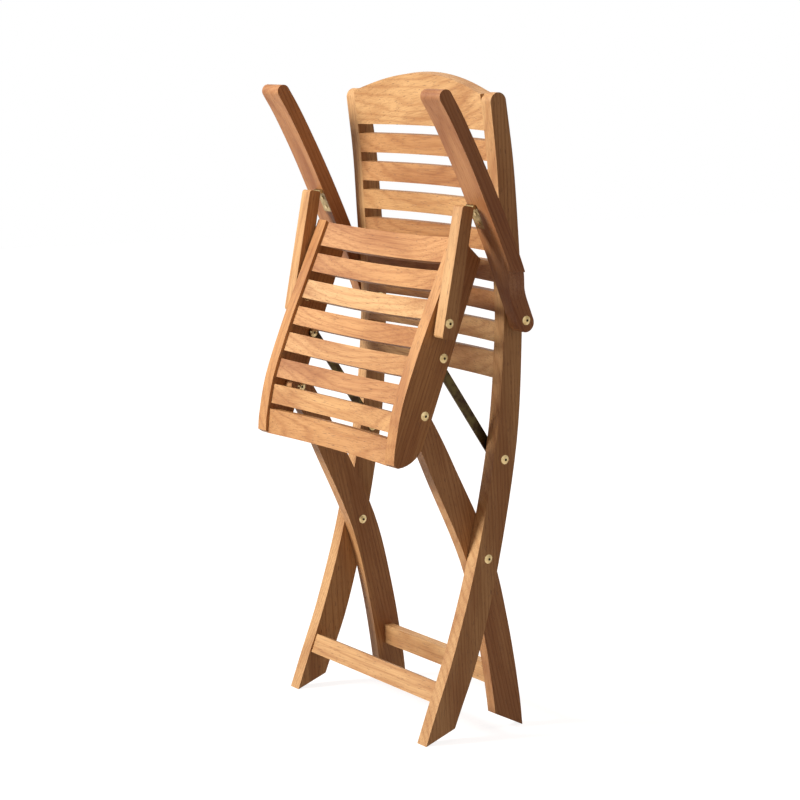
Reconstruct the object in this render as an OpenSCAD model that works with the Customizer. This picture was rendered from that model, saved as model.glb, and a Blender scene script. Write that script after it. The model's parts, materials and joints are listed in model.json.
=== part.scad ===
// Folding armchair in hardwood, standing half folded on the tips of its feet.
// +X is to the right seen from the front, the sitter faces -Y, +Z is up.
// Origin: on the floor, under the middle of the chair.
// The side view is drawn in (y, z) around the main pivot, where front and rear legs cross.

/* [Frame] */
// Height of the chair as it stands, floor to crest of the top rail
chair_h = 1073; // [950:1:1290]
// Width over the outer faces of the two stiles
frame_w = 442; // [370:1:560]
// Thickness of a stile and of a seat rail, across the chair
stile_t = 27; // [22:0.5:33]
// Thickness of a rear leg, across the chair
leg_t = 22; // [18:0.5:27]
// Width of a stile board at mid height, in the side view
stile_w = 35; // [29:0.5:42]
// Width of a rear leg board at the main pivot, in the side view
leg_w = 49; // [41:0.5:54]
// Washer between a stile or a seat rail and the rear leg beside it
leg_gap = 1; // [0.6:0.1:1.6]

/* [Slats] */
// Width of a narrow slat
slat_w = 32.5; // [27:0.5:39]
// Width of the wide slats at the ends of the seat and at the foot of the back
wide_slat_w = 42; // [35:0.5:48]
// Thickness of every slat
slat_t = 14; // [11:0.5:17]
// Hollow of a slat at the middle of the chair
slat_dish = 14; // [8:0.5:18]
// Depth of the seat slats below the top edge of the seat rails
seat_inset = 5; // [3:0.5:7]
// Number of narrow slats in the back
back_slats = 7; // [5:1:7]
// Number of narrow slats in the seat
seat_slats = 6; // [4:1:6]

/* [Top rail] */
// Thickness of the top rail
crest_t = 20; // [16:0.5:24]
// Rise of the arch at the middle
crest_rise = 29; // [20:1:36]

/* [Arms] */
// Width of an arm board, across the chair
arm_w = 55; // [47:1:64]
// Thickness of an arm board in the side view
arm_t = 25; // [21:0.5:29]
// Width of an arm at its rear pivot, and of an arm support, across the chair
support_t = 26; // [22:0.5:31]
// Width of an arm support in the side view
support_w = 24; // [21:0.5:28]
// Washer between an arm or a support and the frame
arm_gap = 4; // [3:0.5:5]

/* [Stretchers] */
// Height of the stretchers between the legs
stretcher_w = 33; // [28:0.5:39]
// Thickness of the stretchers
stretcher_t = 17; // [14:0.5:20]

/* [Hardware] */
// Radius of the pivot bolts
bolt_r = 4; // [3.2:0.1:5]
// Radius of the domed caps of the bolts
cap_r = 7.5; // [6.5:0.1:9]
// Height of the domed caps
cap_h = 2.6; // [2:0.1:3.2]
// Radial running clearance of a bolt in its bore
bolt_fit = 0.05; // [0.02:0.01:0.1]
// Width of the brass link bars
bar_w = 16; // [13:0.5:19]
// Thickness of the brass link bars
bar_t = 3; // [2:0.1:4]
// Spacer between a link bar and the wood beside it
bar_gap = 2.5; // [1.5:0.1:4]
// Radius of the knuckle of an arm hinge
knuckle_r = 3.4; // [2.8:0.1:4]
// Thickness of a hinge leaf
leaf_t = 2; // [1.6:0.1:2.4]

/* [Hidden] */

// The outlines below are drawn for a chair this tall and are scaled to chair_h.
design_h = 1073;
fs = chair_h / design_h;
// Height of the main pivot above the floor
pivot_z = 295 * fs;
// Angle by which the rear legs swing back when the chair opens fully
open_angle = 47.5;
seg = 6;
round_fn = 48;

// Pivots of the linkage, relative to the main pivot
main_pivot = [0, 0];
link_pivot = fs * [31, 160];
seat_pivot = fs * [-122, 243];
link_end = fs * [-87, 332.5];
arm_pivot = fs * [50, 387.5];
support_pivot = fs * [-96, 391];

// Middle lines of the boards, each point with the board's width there
stile_line = [[13.8, 733, 0.84], [27, 640, 0.91], [35.2, 545, 0.97], [42.5, 441, 0.99], [44.5, 355, 1],
    [34.2, 190, 1.13], [-0.5, 0, 1.24], [-40.5, -148, 1.34], [-79.3, -251, 1.28], [-101, -310, 1.25]];
leg_line = [[-122, 243, 0.82], [-93.6, 193, 0.86], [-64.4, 134, 0.92], [0, 0, 1],
    [34, -122, 1.01], [57, -246, 1.04], [66, -330, 1.06]];
arm_line = [[-123, 743, 0.92], [-99, 704, 0.92], [-65, 640, 0.94], [-35, 578, 1], [-4, 510, 1.02],
    [22, 447, 1.06], [38, 412, 1.2], [49, 384, 1.25]];
// Top and bottom edges of a seat rail, from its front end to its rear end
rail_top = [[-180, 169], [-177, 200], [-163.5, 264], [-131, 352], [-96, 434], [-58, 524]];
rail_bottom = [[-125, 198], [-110, 236], [-77, 325], [-47, 407], [-18, 486]];
// Centre and radius of the round under the front end of a seat rail
nose = [-174, 215.7];
nose_r = 52;

// Smooth curve through points, with straight phantom points beyond its ends
function blend(a, b, c, d, t) = 0.5 * (2 * b + (c - a) * t + (2 * a - 5 * b + 4 * c - d) * t * t
    + (3 * b - a - 3 * c + d) * t * t * t);
function point(p, i) = i < 0 ? 2 * p[0] - p[1] : i >= len(p) ? 2 * p[len(p) - 1] - p[len(p) - 2] : p[i];
function curve(p) = concat(
    [for (i = [0:len(p) - 2]) for (j = [0:seg - 1])
        blend(point(p, i - 1), p[i], p[i + 1], point(p, i + 2), j / seg)],
    [p[len(p) - 1]]);
// Points of a middle line, and one long edge of its board: side -1 is the front, +1 the back
function middle(line) = curve([for (p = line) [fs * p[0], fs * p[1], p[2]]]);
function normal(c, i) = let (a = c[max(i - 1, 0)], b = c[min(i + 1, len(c) - 1)],
    d = [b[0] - a[0], b[1] - a[1]]) [-d[1], d[0]] / norm(d);
function edge(c, w, side) = [for (i = [0:len(c) - 1])
    [c[i][0], c[i][1]] + side * normal(c, i) * w * c[i][2] / 2];
function flip(p) = [for (i = [len(p) - 1:-1:0]) p[i]];
function y_at(p, z) = lookup(z, [for (q = p) [q[1], q[0]]]);
function turned(p, a) = [p[0] * cos(a) - p[1] * sin(a), p[0] * sin(a) + p[1] * cos(a)];
// Lean of a curve at a height: the turn about X that takes +Z along it
function lean(p, z) = -atan2(y_at(p, z + 8) - y_at(p, z - 8), 16);

stile_mid = middle(stile_line);
stile_front = edge(stile_mid, stile_w, -1);
stile_back = edge(stile_mid, stile_w, 1);
leg_mid = middle(leg_line);
leg_back = edge(leg_mid, leg_w, 1);
arm_mid = middle(arm_line);
arm_under = edge(arm_mid, arm_t, -1);
arm_top = edge(arm_mid, arm_t, 1);
rail_top_edge = curve(fs * rail_top);
rail_bottom_edge = curve(fs * rail_bottom);

// Foot tips at rest, and the tilt of the floor line they share once the chair is open
front_tip = [y_at(stile_front, -pivot_z), -pivot_z];
rear_tip = [y_at(leg_back, -pivot_z), -pivot_z];
rear_tip_open = turned(rear_tip, open_angle);
floor_tilt = atan2(rear_tip_open[1] - front_tip[1], rear_tip_open[0] - front_tip[0]);

// Layers across the chair, each from the middle plane
frame_x = frame_w / 2;
stile_in = frame_x - stile_t;
leg_out = stile_in - leg_gap;
leg_in = leg_out - leg_t;
bar_out = stile_in - bar_gap;
bar_in = bar_out - bar_t;
arm_in = frame_x + arm_gap;
arm_pivot_out = arm_in + support_t;
arm_out = arm_in + arm_w;

// The whole chair is centred front to back on the origin
rail_nose = min([for (p = rail_top_edge) p[0]]);
side_y = -(rail_nose + rear_tip[0]) / 2;

// Arm hinge: both leaves lie let in flush, leaf_face off the hinge axis
leaf_face = knuckle_r - 0.6;
leaf_len = 40;
leaf_w = 22;
leaf_x = arm_in + support_t / 2;
finger_gap = 0.3;
knuckle_room = 0.6;
hinge_z = fs * 572;
hinge_lean = lean(arm_under, hinge_z);
hinge_axis = [y_at(arm_under, hinge_z), hinge_z] + turned([-leaf_face, 0], hinge_lean);
screw_r = 1.6;
screw_head_r = 3.2;
screw_head_h = 0.8;
screw_len = 12;
leaf_screws = [14, 31];
screw_fn = 24;

// Support: its straight rear face runs leaf_face in front of the hinge axis
support_rear = support_w * 0.63;
support_foot = 25;
support_round = 5;
support_top_w = support_w * 0.87;
support_foot_w = support_w * 1.04;
hinge_arm = hinge_axis - support_pivot;
support_lean = asin((support_rear + leaf_face) / norm(hinge_arm)) - atan2(hinge_arm[0], hinge_arm[1]);
support_len = sqrt(pow(norm(hinge_arm), 2) - pow(support_rear + leaf_face, 2));

wood = "#c98d4e";
wood_dark = "#b97b40";
wood_pale = "#d6a067";
brass = "#c9a24a";

// A side outline, extruded across the chair from x0 to x1, placed round the main pivot
module across(x0, x1) {
    translate([x0, side_y, pivot_z])
        rotate([90, 0, 90])
            linear_extrude(height = x1 - x0)
                children();
}

// The same solid on the left and on the right of the chair
module both_sides() {
    children();
    mirror([1, 0, 0]) children();
}

module side_of(right) {
    if (right) children();
    else mirror([1, 0, 0]) children();
}

// Round bar across the chair through a point of the side view
module rod(p, r, x0, x1) {
    translate([x0, side_y + p[0], pivot_z + p[1]])
        rotate([0, 90, 0])
            cylinder(r = r, h = x1 - x0, $fn = round_fn);
}

module bore(p) {
    rod(p, bolt_r + bolt_fit, -arm_out, arm_out);
}

module washer(p, x0, x1) {
    difference() {
        rod(p, cap_r + 0.5, x0, x1);
        bore(p);
    }
}

// Domed cap with a hexagon socket, its flat face at x and its dome towards dir
module cap(p, x, dir) {
    dome_r = (cap_r * cap_r + cap_h * cap_h) / (2 * cap_h);
    translate([x, side_y + p[0], pivot_z + p[1]])
        rotate([0, 90 * dir, 0])
            difference() {
                intersection() {
                    translate([0, 0, cap_h - dome_r]) sphere(r = dome_r, $fn = round_fn);
                    cylinder(r = cap_r + 1, h = cap_h + 1, $fn = round_fn);
                }
                translate([0, 0, cap_h / 2]) cylinder(r = bolt_r * 0.6, h = cap_h, $fn = 6);
            }
}

// Through bolt with a cap on either end
module bolt(p, x0, x1) {
    rod(p, bolt_r, x0, x1);
    cap(p, x1, 1);
    cap(p, x0, -1);
}

// Hollowed slat: faces between two coaxial arcs, front face flush with y = 0 at its ends
module slat(w, half, t) {
    arc_r = (half * half + slat_dish * slat_dish) / (2 * slat_dish);
    linear_extrude(height = w)
        intersection() {
            difference() {
                translate([0, slat_dish - arc_r]) circle(r = arc_r + t, $fn = 4 * round_fn);
                translate([0, slat_dish - arc_r]) circle(r = arc_r, $fn = 4 * round_fn);
            }
            translate([-half, -slat_dish]) square([2 * half, 4 * slat_dish]);
        }
}

// Everything under a sole line that passes through a tip at an angle
module below_sole(tip, a) {
    translate(tip) rotate(a) translate([-400, -200]) square([800, 200]);
}

module stile(right) {
    top = stile_mid[0];
    color(wood)
        side_of(right)
            difference() {
                across(stile_in, frame_x)
                    difference() {
                        union() {
                            polygon(concat(stile_front, flip(stile_back)));
                            translate([top[0], top[1]]) circle(r = stile_w * top[2] / 2, $fn = round_fn);
                        }
                        below_sole(front_tip, floor_tilt);
                    }
                bore(main_pivot);
                bore(link_pivot);
                bore(arm_pivot);
            }
}

module rear_leg(right) {
    top = leg_mid[0];
    color(wood_dark)
        side_of(right)
            difference() {
                across(leg_in, leg_out)
                    difference() {
                        union() {
                            polygon(concat(edge(leg_mid, leg_w, -1), flip(leg_back)));
                            translate([top[0], top[1]]) circle(r = leg_w * top[2] / 2, $fn = round_fn);
                        }
                        below_sole(rear_tip, floor_tilt - open_angle);
                    }
                bore(main_pivot);
                bore(seat_pivot);
            }
}

module seat_rail(right) {
    color(wood)
        side_of(right)
            difference() {
                across(stile_in, frame_x)
                    polygon(concat(rail_top_edge, flip(rail_bottom_edge),
                        [for (a = [-28:-10:-88]) fs * (nose + turned([nose_r, 0], a))]));
                bore(seat_pivot);
                bore(link_end);
                bore(support_pivot);
            }
}

// A slat of the back, its top edge at height z
module back_slat_at(z, w) {
    a = lean(stile_front, z - w / 2);
    translate([0, side_y + y_at(stile_front, z - w / 2), pivot_z + z - w / 2])
        rotate([a, 0, 0])
            translate([0, 0, -w / 2])
                slat(w, stile_in, slat_t);
}

crest_low = fs * 687;
crest_side = fs * 745;
back_low = fs * 291;
wide_top = back_low + wide_slat_w;
back_pitch = (crest_low - wide_top) / (back_slats + 0.33);
back_gap = back_pitch - slat_w;

module back_slat(i) {
    color(i % 2 == 0 ? wood : wood_pale)
        back_slat_at(crest_low - (back_gap + back_pitch * (i - 1)), slat_w);
}

module back_foot_slat() {
    color(wood_dark) back_slat_at(wide_top, wide_slat_w);
}

// Arched outline of the top rail, seen from the front
module crest_outline() {
    h = crest_side - crest_low;
    polygon(concat([[stile_in, 0], [-stile_in, 0]],
        [for (i = [-20:20]) let (r = i / 20)
            [stile_in * r, h + crest_rise * pow(max(1 - r * r, 0), 1.12)]]));
}

module top_rail() {
    a = lean(stile_front, (crest_low + crest_side) / 2 - 8);
    color(wood_pale)
        translate([0, side_y + y_at(stile_front, crest_low), pivot_z + crest_low])
            rotate([a, 0, 0])
                intersection() {
                    slat(2 * (crest_side - crest_low), stile_in, crest_t);
                    rotate([90, 0, 0])
                        linear_extrude(height = 8 * slat_dish, center = true) crest_outline();
                }
}

// A slat of the seat, its middle at height z of the half folded chair
module seat_slat_at(z, w) {
    translate([0, side_y + y_at(rail_top_edge, z), pivot_z + z])
        rotate([lean(rail_top_edge, z), 0, 0])
            translate([0, seat_inset, -w / 2])
                slat(w, stile_in, slat_t);
}

// Middles of the two wide seat slats, and the step from each to the narrow slat beside it
seat_front_z = fs * 186;
seat_rear_z = fs * 503;
seat_end_step = 0.955 * (wide_slat_w + slat_w) / 2 + fs * 12;
seat_pitch = (seat_rear_z - seat_front_z - 2 * seat_end_step) / (seat_slats - 1);

module seat_slat(i) {
    color(i % 2 == 0 ? wood_pale : wood)
        seat_slat_at(seat_front_z + seat_end_step + seat_pitch * (i - 1), slat_w);
}

module seat_front_slat() {
    color(wood_pale) seat_slat_at(seat_front_z, wide_slat_w);
}

module seat_rear_slat() {
    color(wood) seat_slat_at(seat_rear_z, wide_slat_w);
}

// Board between the two legs of a pair, its top front corner at p and leaning by a
module stretcher(p, a, half) {
    translate([0, side_y + p[0], pivot_z + p[1]])
        rotate([a, 0, 0])
            translate([-half, 0, -stretcher_w])
                cube([2 * half, stretcher_t, stretcher_w]);
}

front_stretcher_z = -fs * 200;
rear_stretcher_top = fs * [43, -195];

module front_stretcher() {
    color(wood)
        stretcher([y_at(stile_front, front_stretcher_z) + 3, front_stretcher_z],
            lean(stile_front, front_stretcher_z - stretcher_w / 2), stile_in);
}

module rear_stretcher() {
    color(wood_pale) stretcher(rear_stretcher_top, 3, leg_in);
}

module link_bar(right) {
    run = link_end - link_pivot;
    color(brass)
        side_of(right)
            difference() {
                across(bar_in, bar_out)
                    translate(link_pivot)
                        rotate(atan2(run[1], run[0])) {
                            translate([0, -bar_w / 2]) square([norm(run), bar_w]);
                            circle(r = bar_w / 2, $fn = round_fn);
                            translate([norm(run), 0]) circle(r = bar_w / 2, $fn = round_fn);
                        }
                bore(link_pivot);
                bore(link_end);
            }
}

// Width of an arm seen from the front: full at the hand, narrowed outside at its pivot
module arm_plan() {
    narrowing = arm_out - arm_pivot_out;
    taper = curve([[arm_pivot_out, fs * 360], [arm_pivot_out, fs * 414],
        [arm_out - narrowing * 0.79, fs * 436], [arm_out - narrowing * 0.42, fs * 454],
        [arm_out - narrowing * 0.15, fs * 471], [arm_out, fs * 500], [arm_out, fs * 800]]);
    translate([0, 0, pivot_z])
        rotate([90, 0, 0])
            linear_extrude(height = fs * 600, center = true)
                polygon(concat([[arm_in, fs * 800], [arm_in, fs * 360]], taper));
}

// Hollow in an arm and in its support for the hinge that joins them
module hinge_room() {
    translate([0, side_y + hinge_axis[0], pivot_z + hinge_axis[1]]) {
        rotate([hinge_lean, 0, 0])
            translate([leaf_x - leaf_w / 2, leaf_face - screw_head_h, -leaf_len])
                cube([leaf_w, leaf_t + screw_head_h, leaf_len]);
        knuckle_hollow();
    }
}

// Round hollow that the knuckle turns in
module knuckle_hollow() {
    translate([leaf_x - leaf_w / 2 - knuckle_room, 0, 0])
        rotate([0, 90, 0])
            cylinder(r = knuckle_r + knuckle_room, h = leaf_w + 2 * knuckle_room, $fn = round_fn);
}

// Screws of one hinge leaf that hangs below the hinge axis, on the left and on the right
module leaf_screw_set(a, dir, grow) {
    for (s = leaf_screws)
        translate([leaf_x, side_y + hinge_axis[0], pivot_z + hinge_axis[1]])
            rotate([a, 0, 0])
                translate([0, dir * leaf_face, -s])
                    rotate([-90 * dir, 0, 0]) {
                        cylinder(r = screw_r + grow, h = screw_len, $fn = screw_fn);
                        if (grow == 0)
                            translate([0, 0, -screw_head_h])
                                cylinder(r = screw_head_r, h = screw_head_h, $fn = screw_fn);
                    }
}

module arm(right) {
    hand = arm_mid[0];
    heel = arm_mid[len(arm_mid) - 1];
    color(wood_dark)
        side_of(right)
            difference() {
                intersection() {
                    across(arm_in, arm_out)
                        union() {
                            polygon(concat(arm_under, flip(arm_top)));
                            translate([heel[0], heel[1]]) circle(r = arm_t * heel[2] / 2, $fn = round_fn);
                            translate([hand[0], hand[1]]) circle(r = arm_t * hand[2] / 2, $fn = round_fn);
                        }
                    arm_plan();
                }
                bore(arm_pivot);
                hinge_room();
                leaf_screw_set(hinge_lean, 1, bolt_fit);
            }
}

// Side outline of a support in its own frame: its pivot at the origin, its length along y
module support_outline() {
    offset(r = support_round, $fn = round_fn)
        offset(delta = -support_round)
            polygon([[support_rear - support_foot_w, -support_foot], [support_rear, -support_foot],
                [support_rear, support_len], [support_rear - support_top_w, support_len]]);
}

module arm_support(right) {
    color(wood)
        side_of(right)
            difference() {
                across(arm_in, arm_pivot_out)
                    translate(support_pivot)
                        rotate(support_lean)
                            support_outline();
                bore(support_pivot);
                support_leaf_room();
                leaf_screw_set(support_lean, -1, bolt_fit);
            }
}

// Hollow in a support for its hinge leaf and the knuckle
module support_leaf_room() {
    translate([0, side_y + hinge_axis[0], pivot_z + hinge_axis[1]]) {
        rotate([support_lean, 0, 0])
            translate([leaf_x - leaf_w / 2, -(leaf_face + leaf_t), -leaf_len])
                cube([leaf_w, leaf_t + screw_head_h, leaf_len]);
        knuckle_hollow();
    }
}

// One hinge leaf with its share of the knuckle: fingers lists the spans it holds
module leaf(a, dir, fingers) {
    translate([leaf_x - leaf_w / 2, side_y + hinge_axis[0], pivot_z + hinge_axis[1]])
        difference() {
            union() {
                rotate([a, 0, 0])
                    translate([0, dir > 0 ? leaf_face : -(leaf_face + leaf_t), -leaf_len])
                        cube([leaf_w, leaf_t, leaf_len - knuckle_r - knuckle_room]);
                for (f = fingers)
                    translate([f[0] * leaf_w + finger_gap / 2, 0, 0])
                        leaf_finger(a, dir, (f[1] - f[0]) * leaf_w - finger_gap);
            }
            translate([-1, 0, 0])
                rotate([0, 90, 0])
                    cylinder(r = knuckle_r / 2 + bolt_fit, h = leaf_w + 2, $fn = screw_fn);
        }
}

// Knuckle finger of width w and the web that joins it to its leaf
module leaf_finger(a, dir, w) {
    web_in = knuckle_r / 2;
    rotate([0, 90, 0]) cylinder(r = knuckle_r, h = w, $fn = round_fn);
    rotate([a, 0, 0])
        translate([0, dir > 0 ? web_in : -(leaf_face + leaf_t), -(knuckle_r + 2 * knuckle_room)])
            cube([w, leaf_face + leaf_t - web_in, knuckle_r + 2 * knuckle_room]);
}

module arm_hinge_leaves() {
    color(brass)
        both_sides()
            difference() {
                leaf(hinge_lean, 1, [[0, 0.2], [0.4, 0.6], [0.8, 1]]);
                leaf_screw_set(hinge_lean, 1, bolt_fit);
            }
}

module support_hinge_leaves() {
    color(brass)
        both_sides()
            difference() {
                leaf(support_lean, -1, [[0.2, 0.4], [0.6, 0.8]]);
                leaf_screw_set(support_lean, -1, bolt_fit);
            }
}

module hinge_pins() {
    color(brass)
        both_sides()
            rod(hinge_axis, knuckle_r / 2, leaf_x - leaf_w / 2, leaf_x + leaf_w / 2);
}

module arm_hinge_screws() {
    color(brass) both_sides() leaf_screw_set(hinge_lean, 1, 0);
}

module support_hinge_screws() {
    color(brass) both_sides() leaf_screw_set(support_lean, -1, 0);
}

module main_pivot_bolts() {
    color(brass) both_sides() bolt(main_pivot, leg_in, frame_x);
}

module main_pivot_washers() {
    color(brass) both_sides() washer(main_pivot, leg_out, stile_in);
}

module seat_pivot_bolts() {
    color(brass) both_sides() bolt(seat_pivot, leg_in, frame_x);
}

module seat_pivot_washers() {
    color(brass) both_sides() washer(seat_pivot, leg_out, stile_in);
}

module link_pivot_bolts() {
    color(brass) both_sides() bolt(link_pivot, bar_in, frame_x);
}

module link_pivot_spacers() {
    color(brass) both_sides() washer(link_pivot, bar_out, stile_in);
}

// Studs at the pivot between a link bar and the seat rail: one half in each
module link_seat_studs() {
    color(brass)
        both_sides() {
            rod(link_end, bolt_r, stile_in, frame_x);
            cap(link_end, frame_x, 1);
        }
}

module link_end_studs() {
    color(brass)
        both_sides() {
            rod(link_end, bolt_r, bar_in, stile_in - 0.2);
            cap(link_end, bar_in, -1);
        }
}

module link_end_spacers() {
    color(brass) both_sides() washer(link_end, bar_out, stile_in);
}

module arm_pivot_bolts() {
    color(brass) both_sides() bolt(arm_pivot, stile_in, arm_pivot_out);
}

module arm_pivot_washers() {
    color(brass) both_sides() washer(arm_pivot, frame_x, arm_in);
}

// Studs at the pivot between an arm support and the seat rail: one half in each
module support_studs() {
    color(brass)
        both_sides() {
            rod(support_pivot, bolt_r, arm_in + 0.2, arm_pivot_out);
            cap(support_pivot, arm_pivot_out, 1);
        }
}

module seat_arm_studs() {
    color(brass) both_sides() rod(support_pivot, bolt_r, stile_in, arm_in);
}

module seat_arm_washers() {
    color(brass) both_sides() washer(support_pivot, frame_x, arm_in);
}

stile(false);  // stile_left
stile(true);  // stile_right
top_rail();
front_stretcher();
back_foot_slat();
for (i = [1:back_slats]) back_slat(i);
rear_leg(false);  // rear_leg_left
rear_leg(true);  // rear_leg_right
rear_stretcher();
seat_rail(false);  // seat_rail_left
seat_rail(true);  // seat_rail_right
seat_rear_slat();
seat_front_slat();
for (i = [1:seat_slats]) seat_slat(i);
link_bar(false);  // link_bar_left
link_bar(true);  // link_bar_right
arm(false);  // arm_left
arm(true);  // arm_right
arm_support(false);  // arm_support_left
arm_support(true);  // arm_support_right
main_pivot_bolts();
main_pivot_washers();
seat_pivot_bolts();
seat_pivot_washers();
link_pivot_bolts();
link_pivot_spacers();
link_seat_studs();
link_end_studs();
link_end_spacers();
arm_pivot_bolts();
arm_pivot_washers();
support_studs();
seat_arm_studs();
seat_arm_washers();
arm_hinge_leaves();
support_hinge_leaves();
hinge_pins();
arm_hinge_screws();
support_hinge_screws();
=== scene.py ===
# Folding armchair in teak with brass fittings: looks, floor, light and camera.
import json
import math

import bmesh
import bpy
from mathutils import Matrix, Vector


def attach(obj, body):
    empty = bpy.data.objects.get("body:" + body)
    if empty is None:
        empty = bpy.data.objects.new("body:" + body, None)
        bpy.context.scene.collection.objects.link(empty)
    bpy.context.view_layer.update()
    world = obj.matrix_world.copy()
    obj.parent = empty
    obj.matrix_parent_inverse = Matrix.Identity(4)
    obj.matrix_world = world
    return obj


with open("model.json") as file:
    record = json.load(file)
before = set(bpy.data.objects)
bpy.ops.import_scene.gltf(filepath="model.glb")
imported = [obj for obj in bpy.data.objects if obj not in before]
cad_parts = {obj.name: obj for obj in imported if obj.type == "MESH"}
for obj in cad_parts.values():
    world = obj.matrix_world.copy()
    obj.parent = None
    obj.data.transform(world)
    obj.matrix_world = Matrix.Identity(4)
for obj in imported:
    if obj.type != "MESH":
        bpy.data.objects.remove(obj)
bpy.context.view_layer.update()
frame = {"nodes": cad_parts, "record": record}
NODES = frame["nodes"]

# Camera: where it stands, how far it turns and looks down in degrees, and its lens in millimetres
CAMERA_AT = (3.3846, -2.0998, 1.1174)
CAMERA_TURN = 58.0
CAMERA_DOWN = 8.381
CAMERA_LENS = 108.67
SENSOR = 36.0
CAMERA_CLIP = (0.05, 60.0)

# Edges of boards and fittings are rounded by this much, in metres
ROUND_BOARD = 0.0042
ROUND_SLAT = 0.0026
ROUND_BRASS = 0.0005

# Width of one growth ring, and how far the tree's heart lies from a board
RING = 0.0065
HEART = 0.085

# Teak colours: the pale early wood, the darker late wood and the pores
EARLY = (0.520, 0.292, 0.122)
LATE = (0.440, 0.226, 0.088)
PORE = (0.150, 0.062, 0.024)

# How much the rings' line wanders across the grain, sideways and in depth, in metres
SWAY = (0.018, 0.024)

# How far one board's grain is taken from the next one's in the tree: along, across and outwards
SEED_STEP = (1.37, 0.171, 0.0073)

# Noise cells per metre along and across the grain
SWAY_CELLS = (3.2, 17.0)
FIBRE_CELLS = (9.0, 520.0)
PORE_CELLS = (65.0, 1300.0)
CLOUD_CELLS = (5.0, 22.0)
BRUSH_CELLS = (60.0, 900.0)

# The wave texture turns through 20 radians in a unit, so its scale is this over the width of a ring
WAVE_TURN = math.tau / 20.0

# Ramps over noise, as (position, colour): darker and paler fibres, slow changes of tone, pores, and
# the roughness that goes with the fibres
STREAKS = ((0.30, (0.66, 0.58, 0.52)), (0.50, (0.98, 0.98, 0.98)), (0.72, (1.10, 1.13, 1.16)))
WASH = ((0.34, (0.74, 0.62, 0.52)), (0.52, (1.0, 1.0, 1.0)), (0.70, (1.12, 1.17, 1.22)))
HOLES = ((0.66, (0.0, 0.0, 0.0)), (0.74, (1.0, 1.0, 1.0)))
WOOD_GLOSS = ((0.3, (0.62, 0.62, 0.62)), (0.7, (0.46, 0.46, 0.46)))

# Where a ring's early wood ends and where its late wood begins, as shares of the wave's height
EARLY_ENDS = 0.40
LATE_BEGINS = 0.80

# Edges are rounded where faces meet at more than this, and faces flatter than this become one, in degrees
SHARP = 38.0
FLAT = 0.4


def principled(name):
    """A new node material and its Principled shader."""
    mat = bpy.data.materials.new(name)
    mat.use_nodes = True
    return mat, mat.node_tree, mat.node_tree.nodes["Principled BSDF"]


def add(tree, kind, **values):
    """A shader node, with its sockets set by name."""
    node = tree.nodes.new(kind)
    for key, value in values.items():
        node.inputs[key].default_value = value
    return node


def ramp(tree, source, stops):
    """A colour ramp over a value; stops are (position, colour)."""
    node = tree.nodes.new("ShaderNodeValToRGB")
    elements = node.color_ramp.elements
    while len(elements) < len(stops):
        elements.new(0.5)
    for element, (position, colour) in zip(elements, stops):
        element.position = position
        element.color = (*colour, 1.0)
    tree.links.new(source, node.inputs["Fac"])
    return node.outputs["Color"]


def mix(tree, blend, factor, first, second):
    """Mixes two colours; the factor is a number or a socket."""
    node = tree.nodes.new("ShaderNodeMix")
    node.data_type = "RGBA"
    node.blend_type = blend
    for socket, value in (("Factor", factor), ("A", first), ("B", second)):
        target = [s for s in node.inputs if s.name == socket and s.enabled][0]
        if isinstance(value, bpy.types.NodeSocket):
            tree.links.new(value, target)
        elif socket == "Factor":
            target.default_value = value
        else:
            target.default_value = (*value, 1.0)
    return [s for s in node.outputs if s.enabled][0]


def grain_space(tree, lean, seed):
    """Object coordinates turned so that X runs along the grain, and shifted to another part of the tree."""
    coords = tree.nodes.new("ShaderNodeTexCoord")
    turn = add(tree, "ShaderNodeMapping", Rotation=lean)
    along, across, outwards = (seed * step for step in SEED_STEP)
    shift = add(tree, "ShaderNodeMapping", Location=(along, across, HEART + outwards))
    tree.links.new(coords.outputs["Object"], turn.inputs["Vector"])
    tree.links.new(turn.outputs["Vector"], shift.inputs["Vector"])
    return shift.outputs["Vector"]


def stretched(tree, space, cells):
    """The grain space, scaled along and across the grain."""
    along, across = cells
    node = add(tree, "ShaderNodeMapping", Scale=(along, across, across))
    tree.links.new(space, node.inputs["Vector"])
    return node.outputs["Vector"]


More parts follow.
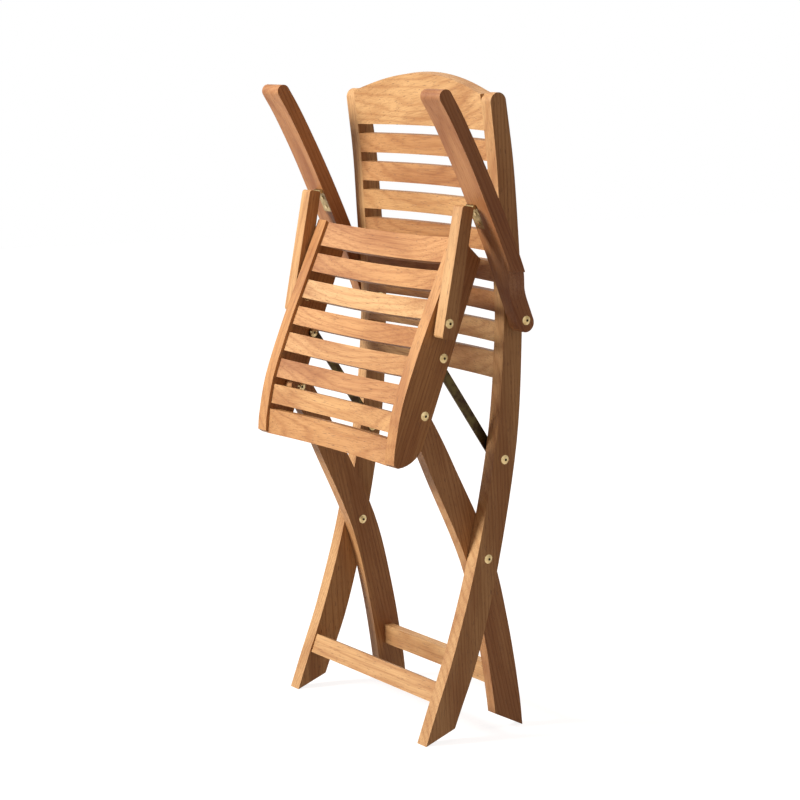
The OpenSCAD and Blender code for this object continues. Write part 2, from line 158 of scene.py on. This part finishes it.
def teak(name, lean, seed, tone, figure):
    """Oiled teak: growth rings, fibre streaks, pores and slow changes of tone."""
    mat, tree, shader = principled(name)
    space = grain_space(tree, lean, seed)

    sway = add(tree, "ShaderNodeTexNoise", Scale=1.0, Detail=3.0, Roughness=0.5)
    tree.links.new(stretched(tree, space, SWAY_CELLS), sway.inputs["Vector"])
    bend = tree.nodes.new("ShaderNodeVectorMath")
    bend.operation = "MULTIPLY_ADD"
    bend.inputs[1].default_value = (0.0, SWAY[0] * figure, SWAY[1] * figure)
    tree.links.new(sway.outputs["Color"], bend.inputs[0])
    tree.links.new(space, bend.inputs[2])

    rings = add(tree, "ShaderNodeTexWave", Scale=WAVE_TURN / RING, Distortion=0.6, Detail=2.0)
    rings.wave_type = "RINGS"
    rings.rings_direction = "X"
    rings.wave_profile = "SIN"
    tree.links.new(bend.outputs["Vector"], rings.inputs["Vector"])

    fibre = add(tree, "ShaderNodeTexNoise", Scale=1.0, Detail=4.0, Roughness=0.65)
    tree.links.new(stretched(tree, space, FIBRE_CELLS), fibre.inputs["Vector"])
    pores = add(tree, "ShaderNodeTexNoise", Scale=1.0, Detail=1.0, Roughness=0.4)
    tree.links.new(stretched(tree, space, PORE_CELLS), pores.inputs["Vector"])
    cloud = add(tree, "ShaderNodeTexNoise", Scale=1.0, Detail=2.0, Roughness=0.5)
    tree.links.new(stretched(tree, space, CLOUD_CELLS), cloud.inputs["Vector"])

    early = [c * t for c, t in zip(EARLY, tone)]
    late = [c * t for c, t in zip(LATE, tone)]
    between = [0.6 * e + 0.4 * d for e, d in zip(early, late)]
    stops = [(0.0, early), (EARLY_ENDS, early), (LATE_BEGINS, between), (1.0, late)]
    colour = ramp(tree, rings.outputs["Color"], stops)
    streak = ramp(tree, fibre.outputs["Fac"], STREAKS)
    colour = mix(tree, "MULTIPLY", 0.8, colour, streak)
    wash = ramp(tree, cloud.outputs["Fac"], WASH)
    colour = mix(tree, "MULTIPLY", 0.9, colour, wash)
    hole = ramp(tree, pores.outputs["Fac"], HOLES)
    colour = mix(tree, "MIX", hole, colour, PORE)
    tree.links.new(colour, shader.inputs["Base Color"])

    gloss = ramp(tree, fibre.outputs["Fac"], WOOD_GLOSS)
    tree.links.new(gloss, shader.inputs["Roughness"])
    shader.inputs["Specular IOR Level"].default_value = 0.35
    relief = add(tree, "ShaderNodeBump", Strength=0.35, Distance=0.0006)
    tree.links.new(fibre.outputs["Fac"], relief.inputs["Height"])
    pits = add(tree, "ShaderNodeBump", Strength=0.5, Distance=0.0004)
    pits.invert = True
    tree.links.new(hole, pits.inputs["Height"])
    tree.links.new(relief.outputs["Normal"], pits.inputs["Normal"])
    tree.links.new(pits.outputs["Normal"], shader.inputs["Normal"])
    return mat


def brass(name, bright, dull, rough):
    """Brass with faint brush marks, duller and rougher where it has tarnished."""
    mat, tree, shader = principled(name)
    coords = tree.nodes.new("ShaderNodeTexCoord")
    tarnish = add(tree, "ShaderNodeTexNoise", Scale=70.0, Detail=4.0, Roughness=0.6)
    tree.links.new(coords.outputs["Object"], tarnish.inputs["Vector"])
    brush = add(tree, "ShaderNodeTexNoise", Scale=1.0, Detail=3.0, Roughness=0.6)
    tree.links.new(stretched(tree, coords.outputs["Object"], BRUSH_CELLS), brush.inputs["Vector"])
    colour = ramp(tree, tarnish.outputs["Fac"], [(0.38, dull), (0.62, bright)])
    tree.links.new(colour, shader.inputs["Base Color"])
    shader.inputs["Metallic"].default_value = 1.0
    gloss = ramp(tree, tarnish.outputs["Fac"], [(0.35, (rough + 0.12,) * 3), (0.65, (rough,) * 3)])
    tree.links.new(gloss, shader.inputs["Roughness"])
    relief = add(tree, "ShaderNodeBump", Strength=0.12, Distance=0.0002)
    tree.links.new(brush.outputs["Fac"], relief.inputs["Height"])
    tree.links.new(relief.outputs["Normal"], shader.inputs["Normal"])
    return mat


def dress(node, material, rounding, steps=3):
    """Gives a CAD node its material, rounds its edges and smooths its curved faces."""
    piece = NODES[node]
    piece.data.materials.clear()
    piece.data.materials.append(material)
    piece.data.shade_smooth()
    flatten = piece.modifiers.new("flatten", "DECIMATE")
    flatten.decimate_type = "DISSOLVE"
    flatten.angle_limit = math.radians(FLAT)
    bevel = piece.modifiers.new("round", "BEVEL")
    bevel.width = rounding
    bevel.segments = steps
    bevel.limit_method = "ANGLE"
    bevel.angle_limit = math.radians(SHARP)
    bevel.use_clamp_overlap = False
    bevel.miter_outer = "MITER_ARC"
    shade = piece.modifiers.new("shade", "WEIGHTED_NORMAL")
    shade.weight = 50
    shade.keep_sharp = False


def upright(degrees):
    """Rotation that takes the grain of a board leaning by that many degrees in the side view to X."""
    return (math.radians(-degrees), math.radians(90.0), 0.0)


# Lean of the grain of the boards that stand in the side view: the turn about X from +Z
LEANS = {"stile": 3.0, "rear_leg": 14.0, "seat_rail": -20.0, "arm": 26.0, "arm_support": -9.3}

# Colour of each board against the common teak, by red, green and blue
BOARD_TONES = {"stile": (1.02, 1.04, 1.04), "rear_leg": (0.96, 0.92, 0.90), "seat_rail": (0.94, 0.84, 0.72),
               "arm": (0.74, 0.60, 0.54), "arm_support": (1.04, 1.06, 1.06)}
SLAT_TONES = ((1.02, 1.05, 1.06), (0.90, 0.80, 0.70), (0.90, 0.80, 0.72), (1.00, 0.97, 0.90),
              (0.85, 0.74, 0.66), (0.98, 0.94, 0.88), (0.92, 0.82, 0.70))


def dress_wood():
    for side, hand in (("left", 1), ("right", 2)):
        for k, (board, lean) in enumerate(LEANS.items()):
            material = teak(f"teak_{board}_{side}", upright(lean), 3 * k + hand, BOARD_TONES[board], 0.5)
            dress(f"{board}_{side}", material, ROUND_BOARD)
    swirl = (0.0, math.radians(8.0), math.radians(3.0))
    dress("top_rail", teak("teak_top_rail", swirl, 11, (1.10, 1.14, 1.14), 1.5), ROUND_SLAT)
    slats = [n for n in NODES if "slat" in n]
    for k, node in enumerate(sorted(slats)):
        tilt = math.radians((k * 5) % 7 - 3.0)
        material = teak(f"teak_{node}", (0.0, tilt, 0.4 * tilt), 17 + k, SLAT_TONES[k % len(SLAT_TONES)], 1.2)
        dress(node, material, ROUND_SLAT)
    for k, node in enumerate(("front_stretcher", "rear_stretcher")):
        material = teak(f"teak_{node}", (0.0, math.radians(1.5), 0.0), 41 + k, (1.08, 1.12, 1.14), 1.0)
        dress(node, material, ROUND_SLAT)


def dress_brass():
    polished = brass("brass_polished", (0.66, 0.51, 0.27), (0.40, 0.28, 0.12), 0.22)
    # Near-black brass for the link bars: painted shade, copying the shade that falls on their inner faces.
    bar_shade_brass = brass("brass_painted_shade_bars", (0.075, 0.055, 0.022), (0.035, 0.020, 0.012), 0.28)
    dark = brass("brass_hinge", (0.42, 0.31, 0.14), (0.22, 0.15, 0.06), 0.32)
    for node in NODES:
        if "bolts" in node or "studs" in node or "screws" in node:
            dress(node, polished, ROUND_BRASS, 2)
        elif node.startswith("link_bar"):
            dress(node, bar_shade_brass, ROUND_BRASS, 2)
        elif "washer" in node or "spacer" in node or "leaves" in node or "hinge_pins" in node:
            dress(node, dark, ROUND_BRASS / 2, 1)


# Dark dished sheet of painted shade in the socket of each bolt cap: its radius, how far its rim lies below
# the top of the dome, how deep its middle lies below the rim, and its rings as (share of the depth, share of
# the radius)
SOCKET_RADIUS = 0.0024
SOCKET_SINK = 0.0003
SOCKET_DEPTH = 0.0006
SOCKET_RINGS = ((0.0, 1.0), (0.45, 0.62), (1.0, 0.16))
SOCKET_SIDES = 24


def cap_places(node):
    """Middle of each domed cap of a node's left and right solid, and the side that it faces."""
    places = []
    for hand in (-1, 1):
        own = [v.co for v in NODES[node].data.vertices if v.co.x * hand > 0]
        low = [min(p[axis] for p in own) for axis in range(3)]
        high = [max(p[axis] for p in own) for axis in range(3)]
        near, far = (low[0], high[0]) if hand > 0 else (high[0], low[0])
        ends = []
        if node != "link_end_studs":
            ends.append((far, hand))
        if "bolts" in node or node == "link_end_studs":
            ends.append((near, -hand))
        for x, face in ends:
            places.append((Vector((x, (low[1] + high[1]) / 2, (low[2] + high[2]) / 2)), face))
    return places


def make_shade_disc(name, body, middle, face, material):
    """Dark dished sheet in the socket of a bolt cap, painted shade where the recess lies in shade."""
    mesh = bpy.data.meshes.new(name)
    shape = bmesh.new()
    loops = []
    for depth, radius in SOCKET_RINGS:
        x = middle.x - face * (SOCKET_SINK + SOCKET_DEPTH * depth)
        loop = []
        for k in range(SOCKET_SIDES):
            turn = math.tau * k / SOCKET_SIDES
            y = middle.y + radius * SOCKET_RADIUS * math.cos(turn)
            z = middle.z + radius * SOCKET_RADIUS * math.sin(turn)
            loop.append(shape.verts.new((x, y, z)))
        loops.append(loop)
    for outer, inner in zip(loops, loops[1:]):
        for k in range(SOCKET_SIDES):
            ahead = (k + 1) % SOCKET_SIDES
            shape.faces.new((outer[k], outer[ahead], inner[ahead], inner[k]))
    shape.faces.new(loops[-1])
    bmesh.ops.recalc_face_normals(shape, faces=shape.faces)
    shape.to_mesh(mesh)
    shape.free()
    piece = bpy.data.objects.new(name, mesh)
    bpy.context.scene.collection.objects.link(piece)
    mesh.materials.append(material)
    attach(piece, body)


def make_shade_discs():
    # Near-black brass for these sheets: painted shade in the sockets, not a colour of the caps.
    shadow = brass("painted_shade_in_sockets", (0.060, 0.045, 0.022), (0.020, 0.014, 0.008), 0.45)
    for body, members in frame["record"]["behaviour"]["bodies"].items():
        for node in members:
            if node == "seat_arm_studs" or ("bolts" not in node and "studs" not in node):
                continue
            for k, (middle, face) in enumerate(cap_places(node)):
                make_shade_disc(f"socket_shade_{node}_{k}", body, middle, face, shadow)


def make_camera():
    data = bpy.data.cameras.new("camera")
    data.lens = CAMERA_LENS
    data.sensor_width = SENSOR
    data.clip_start, data.clip_end = CAMERA_CLIP
    camera = bpy.data.objects.new("camera", data)
    camera.location = CAMERA_AT
    camera.rotation_euler = (math.radians(90.0 - CAMERA_DOWN), 0.0, math.radians(CAMERA_TURN))
    bpy.context.scene.collection.objects.link(camera)
    bpy.context.scene.camera = camera


def background_rays(tree):
    """1 for rays from the camera, from gloss and through glass, and 0 for light on the object."""
    path = tree.nodes.new("ShaderNodeLightPath")
    total = path.outputs["Is Camera Ray"]
    for name in ("Is Glossy Ray", "Is Transmission Ray"):
        node = tree.nodes.new("ShaderNodeMath")
        node.operation = "MAXIMUM"
        tree.links.new(total, node.inputs[0])
        tree.links.new(path.outputs[name], node.inputs[1])
        total = node.outputs[0]
    return total


# Light from the surroundings on the object, and the white that the camera sees
FILL = (0.175, 0.092, 0.058)
WHITE = (1.0, 1.0, 1.0)


def make_world():
    world = bpy.data.worlds.new("studio")
    bpy.context.scene.world = world
    world.use_nodes = True
    tree = world.node_tree
    out = tree.nodes["World Output"]
    fill = tree.nodes["Background"]
    fill.inputs["Color"].default_value = (*FILL, 1.0)
    seen = tree.nodes.new("ShaderNodeBackground")
    seen.inputs["Color"].default_value = (*WHITE, 1.0)
    choose = tree.nodes.new("ShaderNodeMixShader")
    tree.links.new(background_rays(tree), choose.inputs["Fac"])
    tree.links.new(fill.outputs[0], choose.inputs[1])
    tree.links.new(seen.outputs[0], choose.inputs[2])
    tree.links.new(choose.outputs[0], out.inputs["Surface"])


# Half the side of the floor, and the colour that lamps light on it
FLOOR_HALF = 9.0
FLOOR_PAPER = (0.34, 0.32, 0.31)

# The floor's own white grows from this under the chair to the white of the backdrop further out
FLOOR_FADE = {"From Min": 0.6, "From Max": 2.2, "To Min": 0.88, "To Max": 1.0}


def make_floor():
    mesh = bpy.data.meshes.new("floor")
    corners = [(-FLOOR_HALF, -FLOOR_HALF, 0.0), (FLOOR_HALF, -FLOOR_HALF, 0.0),
               (FLOOR_HALF, FLOOR_HALF, 0.0), (-FLOOR_HALF, FLOOR_HALF, 0.0)]
    mesh.from_pydata(corners, [], [(0, 1, 2, 3)])
    floor = bpy.data.objects.new("floor", mesh)
    bpy.context.scene.collection.objects.link(floor)
    mat, tree, shader = principled("floor_paper")
    shader.inputs["Base Color"].default_value = (*FLOOR_PAPER, 1.0)
    shader.inputs["Roughness"].default_value = 0.9
    shader.inputs["Specular IOR Level"].default_value = 0.0
    glow = tree.nodes.new("ShaderNodeEmission")
    coords = tree.nodes.new("ShaderNodeTexCoord")
    reach = tree.nodes.new("ShaderNodeVectorMath")
    reach.operation = "LENGTH"
    fade = tree.nodes.new("ShaderNodeMapRange")
    for key, value in FLOOR_FADE.items():
        fade.inputs[key].default_value = value
    tree.links.new(coords.outputs["Object"], reach.inputs[0])
    tree.links.new(reach.outputs["Value"], fade.inputs["Value"])
    tree.links.new(fade.outputs["Result"], glow.inputs["Strength"])
    both = tree.nodes.new("ShaderNodeAddShader")
    tree.links.new(shader.outputs[0], both.inputs[0])
    tree.links.new(glow.outputs[0], both.inputs[1])
    choose = tree.nodes.new("ShaderNodeMixShader")
    tree.links.new(background_rays(tree), choose.inputs["Fac"])
    tree.links.new(shader.outputs[0], choose.inputs[1])
    tree.links.new(both.outputs[0], choose.inputs[2])
    tree.links.new(choose.outputs[0], tree.nodes["Material Output"].inputs["Surface"])
    mesh.materials.append(mat)


# What the lamps are turned towards, and each lamp's place, size in metres, watts and colour
MIDDLE = (0.0, 0.0, 0.55)
LAMPS = {"key": ((-1.3, -3.6, 2.6), 1.4, 285.0, (1.0, 0.97, 0.94)),
         "fill": ((3.4, -0.6, 1.8), 2.4, 4.0, (1.0, 0.86, 0.78)),
         "top": ((0.2, 0.3, 3.4), 1.6, 30.0, (1.0, 0.98, 0.95))}


def make_lamp(name, place, size, watts, colour):
    data = bpy.data.lights.new(name, "AREA")
    data.shape = "DISK"
    data.size = size
    data.energy = watts
    data.color = colour
    lamp = bpy.data.objects.new(name, data)
    lamp.location = place
    lamp.rotation_euler = (Vector(MIDDLE) - Vector(place)).to_track_quat("-Z", "Y").to_euler()
    bpy.context.scene.collection.objects.link(lamp)


def make_lamps():
    for name, (place, size, watts, colour) in LAMPS.items():
        make_lamp(name, place, size, watts, colour)


dress_wood()
dress_brass()
make_shade_discs()
make_camera()
make_world()
make_floor()
make_lamps()

scene = bpy.context.scene
scene.view_settings.view_transform = "Standard"
